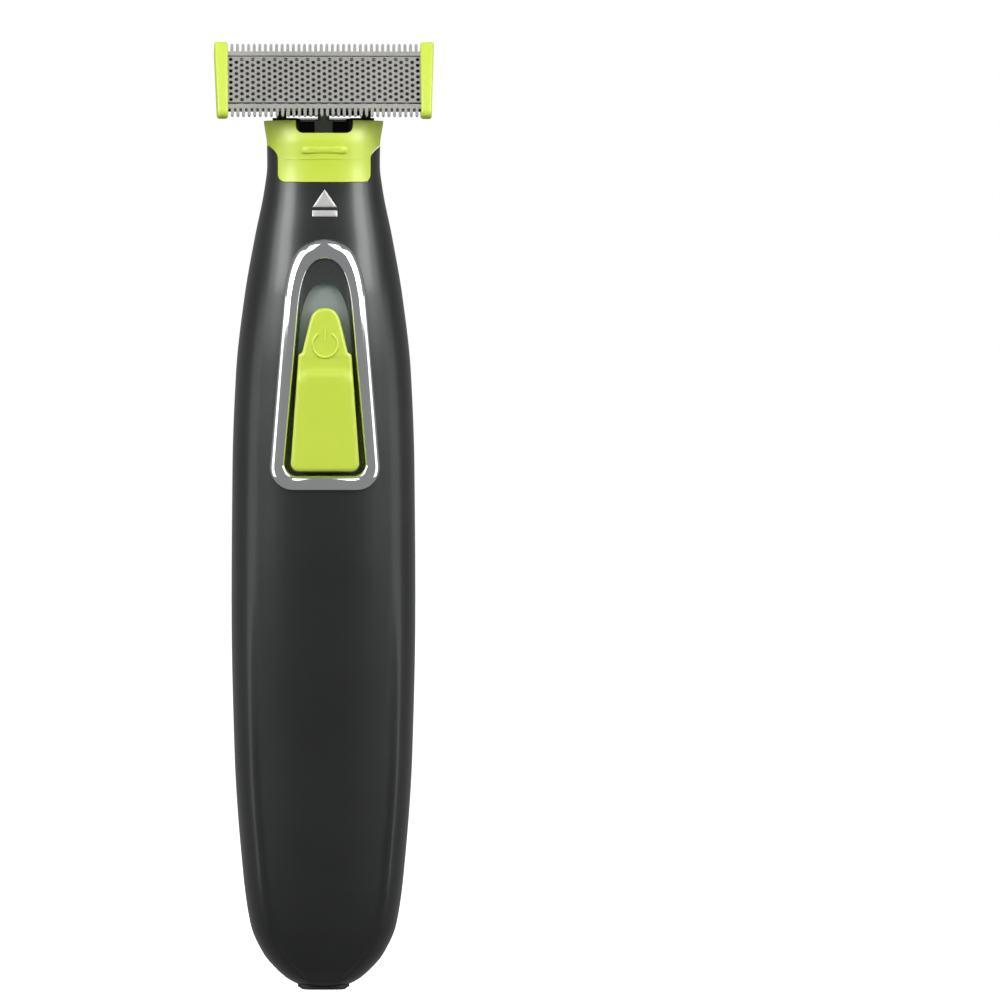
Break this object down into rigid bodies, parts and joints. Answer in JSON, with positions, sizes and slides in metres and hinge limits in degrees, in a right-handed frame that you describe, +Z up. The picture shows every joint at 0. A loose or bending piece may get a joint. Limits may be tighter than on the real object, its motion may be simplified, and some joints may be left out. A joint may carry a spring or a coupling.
{
  "type": "body groomer",
  "caption": "Slim cordless body groomer with a dark tapered handle, a bright-ringed front slider, and a push-on pivoting head with perforated foil, guard combs and an oscillating blade.",
  "frame": {"origin": "middle of the charging socket's mouth at the handle's bottom end", "axes": "+Z runs up the handle to the head, -Y is the side with the power slider, +X to the right seen from that side"},
  "size_m": [0.037, 0.0255, 0.1599],
  "materials": {
    "dark_shell": "satin dark gunmetal paint on plastic",
    "chrome": "bright plated",
    "lime_plastic": "satin moulded",
    "dark_plastic": "fine moulded texture",
    "surround_plastic": "semi-gloss",
    "grey_plastic": "satin",
    "silver_mark": "printed silver",
    "blade_steel": "ground and etched",
    "spring_steel": "plain",
    "seal_rubber": "matte",
    "cell_wrap": "shrink sleeve",
    "board_green": "solder mask",
    "motor_steel": "zinc plated",
    "contact_brass": "plated",
    "white_acetal": "natural"
  },
  "bodies": {
    "handle": {"front_shell": "dark_shell", "back_shell": "dark_shell", "chrome_bezel": "chrome", "switch_surround": "surround_plastic", "track_plate": "grey_plastic", "eject_mark": "silver_mark", "neck_bulkhead": "dark_plastic", "charge_socket": "dark_plastic", "slide_switch": "dark_plastic", "neck_seal": "seal_rubber", "seam_gasket": "seal_rubber", "latch_springs": "spring_steel", "rocker_pin": "spring_steel", "chassis_screws": "spring_steel", "motor_can": "motor_steel", "motor_mount": "white_acetal", "battery_tray": "white_acetal", "battery_cell": "cell_wrap", "battery_contact_top": "contact_brass", "battery_contact_bottom": "contact_brass", "charge_pins": "contact_brass", "circuit_board": "board_green"},
    "slider": {"power_slider": "lime_plastic", "power_mark": "lime_plastic", "slider_carriage": "white_acetal", "switch_knob": "dark_plastic"},
    "rotor": {"motor_shaft": "spring_steel", "eccentric_cam": "white_acetal"},
    "rocker": {"drive_rocker": "grey_plastic"},
    "head_base": {"release_collar": "lime_plastic", "head_yoke": "dark_plastic", "pivot_pins": "spring_steel", "tilt_spring": "spring_steel"},
    "blade_head": {"blade_carrier": "dark_plastic", "driver_hood": "dark_plastic", "left_cap": "lime_plastic", "right_cap": "lime_plastic", "foil_plate": "blade_steel", "upper_comb": "blade_steel", "lower_comb": "blade_steel", "cutter_springs": "spring_steel"},
    "cutter": {"moving_cutter": "blade_steel", "cutter_driver": "white_acetal"}
  },
  "joints": [
    {"name": "power_slide", "type": "slide", "parent": "handle", "child": "slider", "axis": [0, 0, 1], "range_m": [0, 0.0036]},
    {"name": "motor_spin", "type": "hinge", "parent": "handle", "child": "rotor", "pos_m": [0, 0, 0.12], "axis": [0, 0, 1], "continuous": true},
    {"name": "rocker_swing", "type": "hinge", "parent": "handle", "child": "rocker", "pos_m": [0, 0, 0.1382], "axis": [0, 1, 0], "range_deg": [-4.1, 4.1]},
    {"name": "head_release", "type": "slide", "parent": "handle", "child": "head_base", "axis": [0, 0, 1], "range_m": [0, 0.018]},
    {"name": "head_tilt", "type": "hinge", "parent": "head_base", "child": "blade_head", "pos_m": [0, -0.001, 0.14906], "axis": [1, 0, 0], "range_deg": [-10, 10], "stiffness_Nm_per_rad": 0.05},
    {"name": "cutter_stroke", "type": "slide", "parent": "blade_head", "child": "cutter", "axis": [1, 0, 0], "range_m": [-0.00075, 0.00075]}
  ],
  "couplings": [
    {"joint": "rocker_swing", "follows": "cutter_stroke", "rad_per_m": 92.593}
  ]
}
